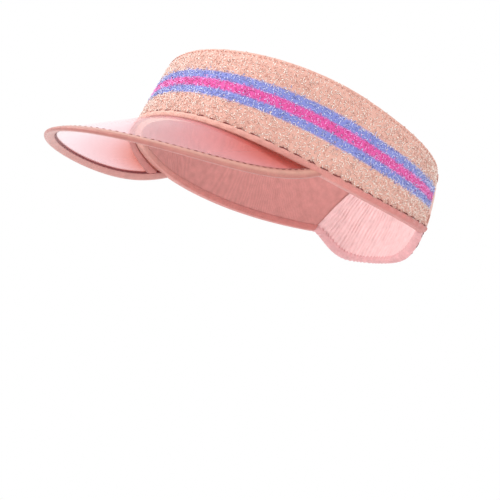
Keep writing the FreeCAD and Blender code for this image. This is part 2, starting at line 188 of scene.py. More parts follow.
# strength and power of the dye, in the deepest and in the palest loops; the deepest also paints
# the shade between them
DEEP_DYE, PALE_DYE = (0.69, 1.85), (1.22, 0.68)


def plain(name, colour, roughness):
    """A material, its node tree and its Principled node, with colour and roughness set."""
    material = bpy.data.materials.new(name)
    material.use_nodes = True
    tree = material.node_tree
    shader = tree.nodes["Principled BSDF"]
    shader.inputs["Base Color"].default_value = (*colour, 1)
    shader.inputs["Roughness"].default_value = roughness
    return material, tree, shader


def node(tree, kind, **settings):
    """A node whose inputs, or else its own settings, have the values given."""
    made = tree.nodes.new(kind)
    for key, value in settings.items():
        if key in made.inputs:
            made.inputs[key].default_value = value
        else:
            setattr(made, key, value)
    return made


def texture_place(tree):
    return tree.nodes.new("ShaderNodeTexCoord").outputs["Object"]


def noise(tree, scale, detail):
    """Noise with scale features to the metre."""
    made = node(tree, "ShaderNodeTexNoise", Scale=scale, Detail=detail)
    tree.links.new(texture_place(tree), made.inputs["Vector"])
    return made.outputs["Fac"]


def ramp(tree, factor, stops):
    """Colour ramp through (place, colour) stops."""
    made = tree.nodes.new("ShaderNodeValToRGB")
    elements = made.color_ramp.elements
    while len(elements) < len(stops):
        elements.new(1.0)
    for element, (place, colour) in zip(elements, stops):
        element.position = place
        element.color = (*colour, 1)
    tree.links.new(factor, made.inputs["Fac"])
    return made.outputs["Color"]


def shaded(tree, colour, factor, low, high):
    """Colour multiplied by a grey that runs from low to high with factor."""
    mix = tree.nodes.new("ShaderNodeMix")
    mix.data_type = "RGBA"
    mix.blend_type = "MULTIPLY"
    mix.inputs["Factor"].default_value = 1.0
    grey = ramp(tree, factor, ((0.25, (low,) * 3), (0.75, (high,) * 3)))
    if isinstance(colour, tuple):
        mix.inputs["A"].default_value = (*colour, 1)
    else:
        tree.links.new(colour, mix.inputs["A"])
    tree.links.new(grey, mix.inputs["B"])
    return mix.outputs["Result"]


def bump(tree, shader, height, depth, strength=1.0):
    """Relief of a depth in metres on the shader."""
    made = node(tree, "ShaderNodeBump", Strength=strength, Distance=depth)
    tree.links.new(height, made.inputs["Height"])
    tree.links.new(made.outputs["Normal"], shader.inputs["Normal"])


def attribute(tree, name):
    return node(tree, "ShaderNodeAttribute", attribute_name=name).outputs["Fac"]


def add(tree, first, second, share):
    """first plus share times (second minus a half)."""
    middle = node(tree, "ShaderNodeMath", operation="MULTIPLY_ADD")
    tree.links.new(second, middle.inputs[0])
    middle.inputs[1].default_value = share
    middle.inputs[2].default_value = -share / 2
    total = node(tree, "ShaderNodeMath", operation="ADD")
    tree.links.new(first, total.inputs[0])
    tree.links.new(middle.outputs[0], total.inputs[1])
    return total.outputs[0]


def sheen(shader, weight):
    shader.inputs["Sheen Weight"].default_value = weight
    shader.inputs["Sheen Roughness"].default_value = SHEEN_ROUGHNESS


def stripe_stops(strength, power):
    """Ramp stops down the stripes; a higher power gives a deeper, stronger dye."""
    def dyed(colour):
        return tuple(min(1.0, strength * share ** power) for share in colour)
    stops = [(0.0, dyed(STRIPES[0][1]))]
    for (_, before), (start, colour) in zip(STRIPES[:-1], STRIPES[1:]):
        stops += [(start - STRIPE_EDGE, dyed(before)), (start + STRIPE_EDGE, dyed(colour))]
    return stops


def terry_material():
    """Yarn-dyed towelling: the stripe's edge wanders with the loops, and each loop takes
    the dye more or less deeply."""
    material, tree, shader = plain("terry", PEACH, roughness=0.95)
    place = add(tree, attribute(tree, "drop"), noise(tree, scale=900, detail=3), STRIPE_WANDER)
    mix = tree.nodes.new("ShaderNodeMix")
    mix.data_type = "RGBA"
    tree.links.new(attribute(tree, "shade"), mix.inputs["Factor"])
    tree.links.new(ramp(tree, place, stripe_stops(*DEEP_DYE)), mix.inputs["A"])
    tree.links.new(ramp(tree, place, stripe_stops(*PALE_DYE)), mix.inputs["B"])
    speckle = noise(tree, scale=2200, detail=2)
    colour = shaded(tree, mix.outputs["Result"], speckle, low=0.86, high=1.12)
    tree.links.new(colour, shader.inputs["Base Color"])
    bump(tree, shader, noise(tree, scale=2600, detail=3), depth=0.0003, strength=0.7)
    sheen(shader, weight=0.25)
    return material


def weave_material(name, colour, pitch, roughness, shine=0.0, relief=0.00012, stops=()):
    """Woven cloth: crossed threads a pitch apart, with uneven yarn and a soft shine. Stops
    change its colour with the piece's attribute "across"."""
    material, tree, shader = plain(name, colour, roughness)
    place = texture_place(tree)
    if stops:
        colour = ramp(tree, attribute(tree, "across"), stops)
    threads = []
    for direction in ("X", "Z"):
        wave = node(tree, "ShaderNodeTexWave", bands_direction=direction,
                    Scale=math.pi / (10 * pitch), Distortion=1.2, Detail=1.0)
        wave.inputs["Detail Scale"].default_value = 3.0
        tree.links.new(place, wave.inputs["Vector"])
        threads.append(wave.outputs["Fac"])
    weave = add(tree, threads[0], threads[1], share=1.0)
    uneven = shaded(tree, colour, noise(tree, scale=260, detail=4), low=0.86, high=1.08)
    cloth = shaded(tree, uneven, weave, low=0.9, high=1.04)
    tree.links.new(cloth, shader.inputs["Base Color"])
    bump(tree, shader, weave, relief, strength=0.8)
    shader.inputs["Coat Weight"].default_value = shine
    shader.inputs["Coat Roughness"].default_value = 0.35
    sheen(shader, weight=0.2)
    return material


def thread_material(name, colour):
    """Two-ply sewing thread: fine slanting plies."""
    material, tree, shader = plain(name, colour, roughness=0.6)
    ply = node(tree, "ShaderNodeTexWave", bands_direction="DIAGONAL", Scale=420, Distortion=0.5)
    tree.links.new(texture_place(tree), ply.inputs["Vector"])
    tree.links.new(shaded(tree, colour, ply.outputs["Fac"], low=0.7, high=1.15),
                   shader.inputs["Base Color"])
    bump(tree, shader, ply.outputs["Fac"], depth=0.00008)
    return material


def vinyl_material():
    """Clear tinted vinyl: what is behind shows through the tint, under a glossy face. The tint
    is deepened by painted shade where the sheet is marked.
    """
    material, tree, shader = plain("bill_vinyl", BILL_PINK, roughness=0.06)
    shader.inputs["IOR"].default_value = VINYL_IOR
    through = node(tree, "ShaderNodeBsdfTransparent")
    # the tint carries the painted shade marked on the sheet
    tint = ramp(tree, attribute(tree, "unshaded"), VINYL_TINTS_AND_SHADE)
    tree.links.new(tint, through.inputs["Color"])
    tree.links.new(tint, shader.inputs["Base Color"])
    facing = node(tree, "ShaderNodeFresnel", IOR=VINYL_IOR)
    share = node(tree, "ShaderNodeMath", operation="MULTIPLY_ADD")
    share.inputs[1].default_value = GLOSS_SHARE
    share.inputs[2].default_value = LEAST_GLOSS
    tree.links.new(facing.outputs["Fac"], share.inputs[0])
    bump(tree, shader, noise(tree, scale=28, detail=2), depth=0.0009, strength=0.25)
    mix = tree.nodes.new("ShaderNodeMixShader")
    tree.links.new(share.outputs[0], mix.inputs["Fac"])
    tree.links.new(through.outputs[0], mix.inputs[1])
    tree.links.new(shader.outputs[0], mix.inputs[2])
    tree.links.new(mix.outputs[0], tree.nodes["Material Output"].inputs["Surface"])
    return material


# --- the band's wall -----------------------------------------------------------------------

# half axes and widest place of the wall's ovals at three levels
LEVELS = (-26.0, 14.0, 58.0)
BAND_RINGS = {"half_width": (80.3, 82.4, 83.6), "widest_y": (-0.8, -7.7, -15.4),
              "front": (101.6, 83.1, 61.8), "back": (115.8, 113.0, 109.6)}
NAPE_RINGS = {"half_width": (93.0, 87.0, 80.0), "half_length": (93.5, 100.5, 95.0)}
FRONT_Y, EAR_Y, SEAM_FOOT_Y, SEAM_LEAN = -104.0, -3.4, 77.0, 0.28
FOOT = (2.2, -11.3, -5.6)            # heights of the lower edge: front, ears, seams
HEAD = (52.6, 41.4, 37.7)            # and of the upper edge
WALL_THICK = 4.5
TAPE_THICK = 0.8
HEM_HEIGHT = 3.6
HEM_PITCH = 9.0
SEAM_TAPE_WIDTH = 7.0
SEAM_PITCH = 3.6


def ease(share):
    """Smooth step from 0 to 1."""
    share = np.clip(share, 0, 1)
    return share * share * (3 - 2 * share)


def through_levels(rings, name, z):
    """A measure of the ovals at height z, on a parabola through the three levels."""
    return np.polyval(np.polyfit(LEVELS, rings[name], 2), z)


def seam_y(z):
    """Y of the slanted side seams at height z."""
    return SEAM_FOOT_Y + SEAM_LEAN * (z - FOOT[2])


def side_arc(heights):
    """Height over Y of the circle through a band edge's front, ear and seam points."""
    places = np.array((FRONT_Y, EAR_Y, seam_y(heights[2])))
    heights = np.array(heights)
    sides = 2 * np.stack((places[1:] - places[0], heights[1:] - heights[0]), -1)
    squares = places ** 2 + heights ** 2
    centre = np.linalg.solve(sides, squares[1:] - squares[0])
    radius = math.hypot(places[0] - centre[0], heights[0] - centre[1])
    side = math.copysign(1, heights[1] - centre[1])

    def height_at(y):
        return centre[1] + side * np.sqrt(radius ** 2 - (y - centre[0]) ** 2)

    return height_at


foot_height = side_arc(FOOT)
head_height = side_arc(HEAD)


def wall_plan(angle, z, inset):
    """X and Y on the band's wall, an angle from straight ahead, inset into the wall."""
    depth = np.where(np.cos(angle) > 0, through_levels(BAND_RINGS, "front", z),
                     through_levels(BAND_RINGS, "back", z)) - inset
    x = (through_levels(BAND_RINGS, "half_width", z) - inset) * np.sin(angle)
    y = through_levels(BAND_RINGS, "widest_y", z) - depth * np.cos(angle)
    return x, y


def end_angle(z, inset):
    """Angle at which the wall meets the slanted seam at a height."""
    back = through_levels(BAND_RINGS, "back", z) - inset
    reach = (seam_y(z) - through_levels(BAND_RINGS, "widest_y", z)) / back
    return math.pi / 2 + np.arcsin(reach)


def even_shares():
    """Shares of the end angle that are evenly spaced along the middle of the band."""
    shares = np.linspace(-1, 1, 721)
    z = (FOOT[2] + HEAD[2]) / 2
    x, y = wall_plan(shares * end_angle(z, 0), z, 0)
    length = np.concatenate(([0], np.cumsum(np.hypot(np.diff(x), np.diff(y)))))
    return 2 * length / length[-1] - 1, shares, length[-1]


EVEN_PLACES, EVEN_SHARES, BAND_LENGTH = even_shares()
HALF_BAND = BAND_LENGTH / 2
EAR_HEIGHT = HEAD[1] - FOOT[1]
SEAM_HEIGHT = HEAD[2] - FOOT[2]


def band_points(along, height, inset, rise=0.0):
    """Points on the wall: along runs -1 to 1 from the right seam round the front to the
    left one, height 0 to 1 from foot to head, inset into the wall and rise straight up."""
    along, height, inset, rise = np.broadcast_arrays(along, height, inset, rise)
    z = FOOT[2] + height * (HEAD[2] - FOOT[2]) + rise
    angle = end_angle(z, inset) * np.interp(along, EVEN_PLACES, EVEN_SHARES)
    for _ in range(5):                   # the edges' heights depend on y: settle both
        x, y = wall_plan(angle, z, inset)
        foot = foot_height(y)
        z = foot + height * (head_height(y) - foot) + rise
    return np.stack((x, y, z), -1)


# --- meshes --------------------------------------------------------------------------------

def make_mesh(name, points, faces, material, attributes=None):
    """A piece from band-frame points, with its float attributes and material."""
    mesh = bpy.data.meshes.new(name)
    mesh.from_pydata(to_row(np.asarray(points, float)).tolist(), [], [list(f) for f in faces])
    for key, values in (attributes or {}).items():
        layer = mesh.attributes.new(key, "FLOAT", "POINT")
        layer.data.foreach_set("value", np.ascontiguousarray(values, dtype=np.float32))
    mesh.polygons.foreach_set("use_smooth", [True] * len(mesh.polygons))
    mesh.materials.append(material)
    piece = bpy.data.objects.new(f"{name}_finish", mesh)
    bpy.context.scene.collection.objects.link(piece)
    return piece


def grid_faces(rows, columns, ring, offset=0):
    """Quads of a grid of points stored row by row; ring closes each row on itself."""
    index = np.arange(rows * columns).reshape(rows, columns) + offset
    if ring:
        index = np.concatenate((index, index[:, :1]), 1)
    quads = np.stack((index[:-1, :-1], index[1:, :-1], index[1:, 1:], index[:-1, 1:]), -1)
    return quads.reshape(-1, 4)


def sweep(name, sections, material, attributes=None):
    """Closed body from rings of points: sections is stations by ring points by 3."""
    stations, count, _ = sections.shape
    faces = grid_faces(stations, count, True).tolist()
    faces.append(list(range(count)))
    faces.append(list(range(stations * count - 1, (stations - 1) * count - 1, -1)))
    flat = {key: value.reshape(-1) for key, value in (attributes or {}).items()}
    piece = make_mesh(name, sections.reshape(-1, 3), faces, material, flat)
    tidy_normals(piece)
    return piece


def tidy_normals(piece):
    """Turn every face of a closed body outwards."""
    work = bmesh.new()
    work.from_mesh(piece.data)
    bmesh.ops.recalc_face_normals(work, faces=work.faces)
    work.to_mesh(piece.data)
    work.free()


def frame_at(surface, along, height, step=0.002):
    """Place, direction along, direction up and normal on a surface function. The normal
    points out of the band, but in towards the head on the nape section."""
    place = surface(along, height)
    across = surface(along + step, height) - surface(along - step, height)
    up = surface(along, height + step * 4) - surface(along, height - step * 4)
    across /= np.linalg.norm(across, axis=-1, keepdims=True)
    normal = np.cross(across, up)
    normal /= np.linalg.norm(normal, axis=-1, keepdims=True)
    return place, across, np.cross(normal, across), normal


def tubes(paths, sides, radius):
    """Points and faces of round tubes with tapered ends along many short paths."""
    count, stations, _ = paths.shape
    tangent = np.gradient(paths, axis=1)
    tangent /= np.linalg.norm(tangent, axis=-1, keepdims=True)
    chord = paths[:, -1] - paths[:, 0]
    middle = paths[:, stations // 2] - (paths[:, 0] + paths[:, -1]) / 2
    side = np.cross(chord, middle)
    side /= np.linalg.norm(side, axis=-1, keepdims=True) + 1e-9
    side = np.broadcast_to(side[:, None], tangent.shape)
    third = np.cross(tangent, side)
    turn = np.arange(sides) / sides * 2 * math.pi
    radii = np.full(stations, radius)
    radii[[0, -1]] *= 0.45
    ring = (side[:, :, None] * np.cos(turn)[:, None] + third[:, :, None] * np.sin(turn)[:, None])
    points = paths[:, :, None] + ring * radii[:, None, None]
    one = grid_faces(stations, sides, True)
    caps = np.array([list(range(sides))[::-1],
                     list(range((stations - 1) * sides, stations * sides))])
    starts = np.arange(count) * stations * sides
    quads = (one[None] + starts[:, None, None]).reshape(-1, 4).tolist()
    ends = (caps[None] + starts[:, None, None]).reshape(-1, sides).tolist()
    return points.reshape(-1, 3), quads + ends, stations * sides


# --- towelling -----------------------------------------------------------------------------

TOP_ROLL = 1.3
TURNED_DEPTH = 5.0                   # how far the turning reaches down inside
TURNED_PROUD = 0.15                  # how far it stands over the lining's upper edge
HIDDEN_BACK = WALL_THICK - 1.6       # behind the lining, out of sight
PAINTED_GAP_SHADE = 0.12                   # painted shade: the ground cloth between the loops takes the deepest dye colour
CLOTH_JITTER = 0.12
LOOP_SPACING = (1.92, 1.52)          # along and up the band
LOOP_HEIGHT = 1.15
LOOP_REACH = 0.6
YARN_RADIUS = 0.28
EDGE_SEAM_DROP = 1.5


def stitch_phase(along, pitch):
    """Phase along the band of stitches a pitch apart."""
    return along * HALF_BAND / pitch * 2 * math.pi


def stitch_pull(along, off_line, pitch, depth, fade):
    """How far stitches a pitch apart pull the cloth in, at a distance off their line."""
    return (depth * (0.6 + 0.4 * np.cos(stitch_phase(along, pitch)))
            * np.exp(-(off_line / fade) ** 2))


def terry_inset(along, height):
    """The towelling's face: its soft unevenness, and the pull of the seams at both edges."""
    reach = height * EAR_HEIGHT
    wave = 0.15 * np.sin(along * 37 + height * 5) * np.sin(along * 13 + 1.3)
    hem = stitch_pull(along, reach - HEM_HEIGHT, HEM_PITCH, depth=1.1, fade=3.2)
    top = stitch_pull(along, reach - EAR_HEIGHT + EDGE_SEAM_DROP, SEAM_PITCH,
                      depth=0.35, fade=1.2)
    return wave + hem + top


def terry_face(along, height):
    return band_points(along, height, terry_inset(along, height))


def terry_section():
    """Height, rise and inset round the towelling's section, from the foot up and over.
    The open face has no inset of its own."""
    up = [(h, 0.0, None) for h in np.linspace(0.0, 0.985, 40)]
    roll = [(1.0, TOP_ROLL * math.sin(t) - 0.6, WALL_THICK / 2 * (1 - math.cos(t)))
            for t in np.linspace(0.35, math.pi, 9)]
    inner = [(1.0, -drop, WALL_THICK + TURNED_PROUD) for drop in (1.8, 3.4, TURNED_DEPTH)]
    core = [(1.0, -TURNED_DEPTH, HIDDEN_BACK)]
    down = [(h, 0.0, HIDDEN_BACK) for h in (0.75, 0.5, 0.25, 0.0)]
    return up + roll + inner + core + down


def terry_shell(material):
    """The towelling's ground cloth and the foam behind it, as one padded body, painted dark as
    shade between the loops.
    """
    stations = 330
    section = terry_section()
    along = np.linspace(-1, 1, stations)[:, None]
    height = np.array([h for h, _, _ in section])[None]
    rise = np.array([r for _, r, _ in section])[None]
    plain_inset = np.array([0.0 if i is None else i for _, _, i in section])[None]
    open_face = np.array([i is None for _, _, i in section])[None]
    inset = np.where(open_face, terry_inset(along, height), plain_inset)
    inset = inset + rng.normal(0, CLOTH_JITTER, inset.shape) * (plain_inset < WALL_THICK - 0.5)
    points = band_points(along, height, inset, rise)
    drop = np.broadcast_to(1 - height, inset.shape)
    # painted shade: the ground cloth takes the deepest colour, to darken the gaps between loops
    shade = np.full(inset.shape, PAINTED_GAP_SHADE)
    piece = sweep("terry_shell", points, material, {"drop": drop, "shade": shade})
    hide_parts("terry_shell", "foam_core")
    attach(piece, "band")


def loop_roots():
    """Uneven rows of roots over the outer face, kept inside the band's ends."""
    columns = int(BAND_LENGTH / LOOP_SPACING[0])
    rows = int((EAR_HEIGHT - HEM_HEIGHT) / LOOP_SPACING[1])
    along = (np.arange(columns) + 0.5) / columns * 2 - 1
    low = HEM_HEIGHT / EAR_HEIGHT
    height = low + (np.arange(rows) + 0.4) / rows * (1 - low)
    along, height = np.meshgrid(along, height)
    along = along + (np.arange(rows)[:, None] % 2 - 0.5) / columns
    along += rng.uniform(-0.45, 0.45, along.shape) * 2 / columns
    height = height + rng.uniform(-0.45, 0.45, height.shape) * (1 - low) / rows
    ends = 1 - SEAM_TAPE_WIDTH / HALF_BAND
    return np.clip(along.ravel(), -1, 1) * ends, np.clip(height.ravel(), low, 0.995)


def terry_loops(material):
    """Curled loops of yarn that lean every way, each dyed as its root is."""
    along, height = loop_roots()
    place, across, up, normal = frame_at(terry_face, along, height)
    count = len(along)
    turn = rng.uniform(0, 2 * math.pi, count)[:, None]
    spread = across * np.cos(turn) + up * np.sin(turn)
    lean_turn = rng.uniform(0, 2 * math.pi, count)[:, None]
    lean = across * np.cos(lean_turn) + up * np.sin(lean_turn)
    reach = (LOOP_REACH * rng.uniform(0.8, 1.4, count))[:, None]
    edge = np.clip((1 - height) / 0.12, 0.35, 1)
    rise = (LOOP_HEIGHT * edge * rng.uniform(0.55, 1.2, count))[:, None]
    tilt = rng.uniform(0.1, 0.95, count)[:, None]
    stations = []
    for share in np.linspace(0, 1, 5):
        lift = math.sin(math.pi * share)
        stations.append(place + spread * reach * (share * 2 - 1) * (1 + 0.5 * lift)
                        + normal * (rise * lift - 0.25) + lean * tilt * lift)
    points, faces, each = tubes(np.stack(stations, 1), sides=3, radius=YARN_RADIUS)
    drop = np.repeat(1 - height + rng.normal(0, 0.019, count), each)
    shade = np.repeat(rng.beta(1.6, 1.25, count), each)
    piece = make_mesh("terry_loops", points, faces, material,
                      {"drop": drop, "shade": shade})
    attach(piece, "band")


# --- lining and hem ------------------------------------------------------------------------

LINING_THICK = 0.6
RIPPLE_PITCH = 11
HEM_BULGE = 0.75
HEM_SINK = 0.9                       # the tape's upper edge, drawn into the towelling


def inner_lining(material):
    """Soft lining, eased in so that it ripples a little. Its deep dusty pink is partly painted
    shade, for the shaded head seen through the bill.
    """
    rows = 14
    along = np.linspace(-1, 1, 220)[:, None]
    inner = np.linspace(0.02, 0.93, rows)
    height = np.concatenate((inner, inner[::-1]))[None]
    ripple = 0.18 * np.sin(stitch_phase(along, RIPPLE_PITCH) + 2.0 * height)
    inset = np.repeat((WALL_THICK, WALL_THICK - LINING_THICK), rows)[None]
    edge = np.concatenate((np.sin(np.pi * np.linspace(0.1, 0.9, rows)), np.zeros(rows)))[None]
    points = band_points(along, height, inset + ripple * edge)
    piece = sweep("inner_lining", points, material)
    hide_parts("inner_lining")
    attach(piece, "band")


def hem_section(along):
    """Rise and inset round the folded hem tape, bulging between its stitches."""
    phase = stitch_phase(along, HEM_PITCH)
    level = np.ones_like(phase)
    puff = 0.75 - 0.35 * np.cos(phase) + 0.1 * np.sin(phase * 0.37)
    rises, insets = [], []
    for share in np.linspace(0, 1, 10):            # outside, from its top edge down
        top = HEM_HEIGHT + 0.35 * np.sin(phase + 0.8)
        rises.append(top * (1 - share) + 0.1 * share)
        bulge = HEM_BULGE * puff * math.sin(math.pi * share) ** 0.8
        insets.append(HEM_SINK - (HEM_SINK + TAPE_THICK) * min(1, share * 4) - bulge)
    for turn in np.linspace(0.25, math.pi - 0.25, 7):      # round the fold
        half = WALL_THICK / 2 + TAPE_THICK
        rises.append(level * -TAPE_THICK * math.sin(turn))
        insets.append(level * (WALL_THICK / 2 - half * math.cos(turn)))
    for share in np.linspace(0, 1, 6):             # up the inside
        rises.append(level * HEM_HEIGHT * share)
        bulge = 0.35 * puff * math.sin(math.pi * share)
        insets.append(WALL_THICK + TAPE_THICK * (1 - share * 0.7) + bulge)
    rises.append(level * (HEM_HEIGHT - 0.8))       # the raw edges are hidden in the wall
    insets.append(level * WALL_THICK / 2)
    return np.concatenate(rises, 1), np.concatenate(insets, 1)


def hem_binding(material):
    """Folded tape round the lower edge, with painted light: paler towards the front, as if lit
    there.
    """
    along = np.linspace(-1, 1, 700)[:, None]
    rise, inset = hem_section(along)
    points = band_points(along, 0.0, inset, rise)
    # painted light: how far towards the front, where the tape is painted paler
    front = np.broadcast_to(np.exp(-(along / 0.4) ** 2), rise.shape)
    piece = sweep("hem_binding", points, material, {"across": front})
    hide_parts("hem_binding")
    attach(piece, "band")


# --- stitches ------------------------------------------------------------------------------

SEWN_SHARE = 0.985                   # of the way out to the seams
HEM_THREAD, NAPE_HEM_THREAD = 0.33, 0.3      # radii of the threads
FINE_THREAD, TACK_THREAD, BILL_THREAD = 0.25, 0.3, 0.19


def stitch_row(line, normal, pitch, share, sag=0.35, sway=0.12):
    """Paths of stitches along a dense line; each dips into the cloth at both ends. A stitch
    covers a share of its pitch, arches by its sag and strays by its sway."""
    length = np.concatenate(([0], np.cumsum(np.linalg.norm(np.diff(line, axis=0), axis=1))))
    count = int(length[-1] / pitch)
    starts = (np.arange(count) + 0.5 - share / 2) * length[-1] / count
    paths = []
    for part in np.linspace(0, 1, 6):
        at = starts + part * share * length[-1] / count
        place = np.stack([np.interp(at, length, line[:, axis]) for axis in range(3)], -1)
        out = np.stack([np.interp(at, length, normal[:, axis]) for axis in range(3)], -1)
        wobble = rng.normal(0, sway, (count, 3)) * (0.3 + 0.7 * math.sin(math.pi * part))
        paths.append(place + out * sag * (math.sin(math.pi * part) - 0.55) + wobble)
    return np.stack(paths, 1)


def thread_piece(name, rows, radius, material):
    """Rows of stitches as one piece."""
    points, faces, _ = tubes(np.concatenate(rows), sides=6, radius=radius)
    piece = make_mesh(name, points, faces, material)
    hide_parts(name)
    return piece


def on_band(height, inset, rise):
    """A dense line round the band, and its outward directions."""
    def face(along, height):
        return band_points(along, height, inset, rise)

    along = np.linspace(-SEWN_SHARE, SEWN_SHARE, 1500)
    place, _, _, normal = frame_at(face, along, np.full_like(along, height))
    return place, normal


def band_threads(dark, pale):
    """The long stitches over the hem and the fine ones below the upper edge."""
    line, normal = on_band(0.0, 0.05, HEM_HEIGHT + 0.1)
    rows = [stitch_row(line, normal, HEM_PITCH, share=0.62, sag=0.5, sway=0.28)]
    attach(thread_piece("hem_topstitch", rows, HEM_THREAD, dark), "band")
    line, normal = on_band(1.0, -0.35, -EDGE_SEAM_DROP)
    rows = [stitch_row(line, normal, SEAM_PITCH, share=0.55, sag=0.4)]
    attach(thread_piece("top_edge_stitch", rows, FINE_THREAD, pale), "band")


# --- bill ----------------------------------------------------------------------------------

BILL_SLOPE = math.radians(29.5)
ARCH_HALF_WIDTH, ARCH_RISE, ARCH_BASE = 82.0, 61.1, -14.5
BILL_THICK = 0.8
PLAN_HALF_WIDTH, PLAN_HALF_LENGTH, PLAN_CENTRE = 78.1, 124.9, -30.6
RIM_SIDE, RIM_FRONT = 2.0, 6.2       # width of the binding as seen from above
TUCK = 1.6                           # how far the bill reaches into the hem
RIM_CROWN = 1.1                      # how far the binding stands off the sheet
RIM_PITCH = 4.2
RIM_EDGE = 1.5                       # how far it stands out round the sheet's edge
RIM_SEAM_SHARE = 0.8                 # where its seam runs, across its width
CLEAR_MIDDLE, DEEP_SIDE = 0.1, 0.95  # shares of the outline between which painted shade deepens the tint
SIDE_SHADE_DEPTH, ROOT_SHADOW_DEPTH = 1.3, 0.5      # depth of painted shade at the sides, for the head behind, and along the root


def bill_height(x, y, lift):
    """Height of the arched sheet at a plan place, lifted off its middle layer."""
    across = np.clip(x / (ARCH_HALF_WIDTH + lift), -1, 1)
    crown = ARCH_BASE + (ARCH_RISE + lift) * np.sqrt(1 - across ** 2)
    return (crown + y * math.sin(BILL_SLOPE)) / math.cos(BILL_SLOPE)


def rim_plan(turn, share):
    """Plan place on the bill's outline, share of the binding's width inside it."""
    x = (PLAN_HALF_WIDTH - share * RIM_SIDE) * np.sin(turn)
    y = PLAN_CENTRE - (PLAN_HALF_LENGTH - share * RIM_FRONT) * np.cos(turn)
    return x, y


def inside_wall(x, y, z, inset):
    """Positive inside the band's wall at a height."""
    widest = through_levels(BAND_RINGS, "widest_y", z)
    depth = np.where(y < widest, through_levels(BAND_RINGS, "front", z),
                     through_levels(BAND_RINGS, "back", z)) - inset
    width = through_levels(BAND_RINGS, "half_width", z) - inset
    return 1 - (x / width) ** 2 - ((y - widest) / depth) ** 2


def root_turn(share):
    """Turn at which the outline runs into the hem."""
    turns = np.linspace(0.3, 1.8, 3000)
    x, y = rim_plan(turns, share)
    hidden = inside_wall(x, y, bill_height(x, y, 0), TUCK - TAPE_THICK) > 0
    return turns[np.argmax(hidden)]


def root_points(turn, share):
    """Plan places along the root, under the hem, matching turns of the outline."""
    end = root_turn(share)
    x_end, y_end = rim_plan(end, share)
    z = bill_height(x_end, y_end, 0)
    width = through_levels(BAND_RINGS, "half_width", z) - TUCK + TAPE_THICK
    angle = math.asin(min(1, x_end / width)) * turn / end
    z = np.zeros_like(turn)
    for _ in range(8):
        x, y = wall_plan(angle, z, TUCK - TAPE_THICK)
        z = bill_height(x, y, 0)
    return x, y


def bill_grid(columns, rows, lift):
    """Points over the sheet from root to rim, and how free it is of painted shade: the tint is
    painted deepest at its sides, for the shaded head behind, and in a thin shadow along the
    root."""
    end = root_turn(0)
    turn = np.linspace(-end, end, columns)
    root_x, root_y = root_points(turn, 0)
    rim_x, rim_y = rim_plan(turn, 0)
    out = np.linspace(0, 1, rows)[:, None]
    x = root_x * (1 - out) + rim_x * out
    y = root_y * (1 - out) + rim_y * out
    points = np.stack((x, y, bill_height(x, y, lift)), -1)
    # painted shade: deepen the tint at the sides, for the shaded head behind, and along the
    # root, for its shadow
    side = ease((np.abs(turn / end) - CLEAR_MIDDLE) / (DEEP_SIDE - CLEAR_MIDDLE))
    painted_shade = SIDE_SHADE_DEPTH * side * (1 - out) ** 0.8 + ROOT_SHADOW_DEPTH * (1 - out) ** 24
    return points, 1 - np.clip(painted_shade, 0, 1)


def bill_sheet(material):
    """The vinyl: two faces joined round their edge."""
    columns, rows = 150, 44
    top, unshaded = bill_grid(columns, rows, BILL_THICK / 2)
    under, _ = bill_grid(columns, rows, -BILL_THICK / 2)
    count = rows * columns
    faces = grid_faces(rows, columns, False).tolist()
    faces += grid_faces(rows, columns, False, count)[:, ::-1].tolist()
    index = np.arange(count).reshape(rows, columns)
    border = np.concatenate((index[0], index[1:, -1], index[-1, -2::-1], index[-2:0:-1, 0]))
    following = np.roll(border, -1)
    faces += np.stack((border, following, following + count, border + count), -1).tolist()
    points = np.concatenate((top.reshape(-1, 3), under.reshape(-1, 3)))
    unshaded = np.tile(unshaded.reshape(-1), 2)
    piece = make_mesh("bill_sheet", points, faces, material, {"unshaded": unshaded})
    tidy_normals(piece)
    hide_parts("bill_sheet")
    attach(piece, "band")


def rim_frame(turn, share, lift):
    """Place on the rim and the sheet's upward normal there."""
    x, y = rim_plan(turn, share)
    step = 0.05
    z = bill_height(x, y, lift)
    slope_x = (bill_height(x + step, y, lift) - bill_height(x - step, y, lift)) / (2 * step)
    slope_y = (bill_height(x, y + step, lift) - bill_height(x, y - step, lift)) / (2 * step)
    normal = np.stack((-slope_x, -slope_y, np.ones_like(x)), -1)
    normal /= np.linalg.norm(normal, axis=-1, keepdims=True)
    return np.stack((x, y, z), -1), normal


def rim_sections(turn):
    """Rings round the rolled binding: over the top, round the edge and back below."""
    middle, normal = rim_frame(turn, 0.0, 0.0)
    inner, _ = rim_frame(turn, 1.0, 0.0)
    inward = inner - middle
    width = np.linalg.norm(inward, axis=-1, keepdims=True)
    inward = inward / width
    path = np.concatenate(([0], np.cumsum(np.linalg.norm(np.diff(middle, axis=0), axis=1))))
    pucker = np.sin(path / RIM_PITCH * 2 * math.pi)[:, None]
    drift = np.sin(path / 31 + 1.0)[:, None]
    ring = []
    for share in np.linspace(1.0, 0.0, 9):          # over the top towards the edge
        seam = 1 - 0.25 * math.exp(-((share - RIM_SEAM_SHARE) / 0.1) ** 2)
        crown = RIM_CROWN * (1 - 0.8 * share ** 4) * seam
        lift = BILL_THICK / 2 + 0.12 + crown * (0.85 + 0.06 * pucker * share + 0.05 * drift)
        ring.append(middle + inward * width * share + normal * lift)
    for swing in np.linspace(0.3, math.pi - 0.3, 7):  # round the edge
        out = RIM_EDGE * math.sin(swing)
        lift = (BILL_THICK / 2 + RIM_CROWN * 0.9) * math.cos(swing)
        ring.append(middle - inward * out + normal * lift)
    for share in np.linspace(0.0, 1.0, 9):          # back underneath
        crown = RIM_CROWN * 0.9 * (1 - 0.8 * share ** 4)
        ring.append(middle + inward * width * share - normal * (BILL_THICK / 2 + 0.1 + crown))
    return np.stack(ring, 1)


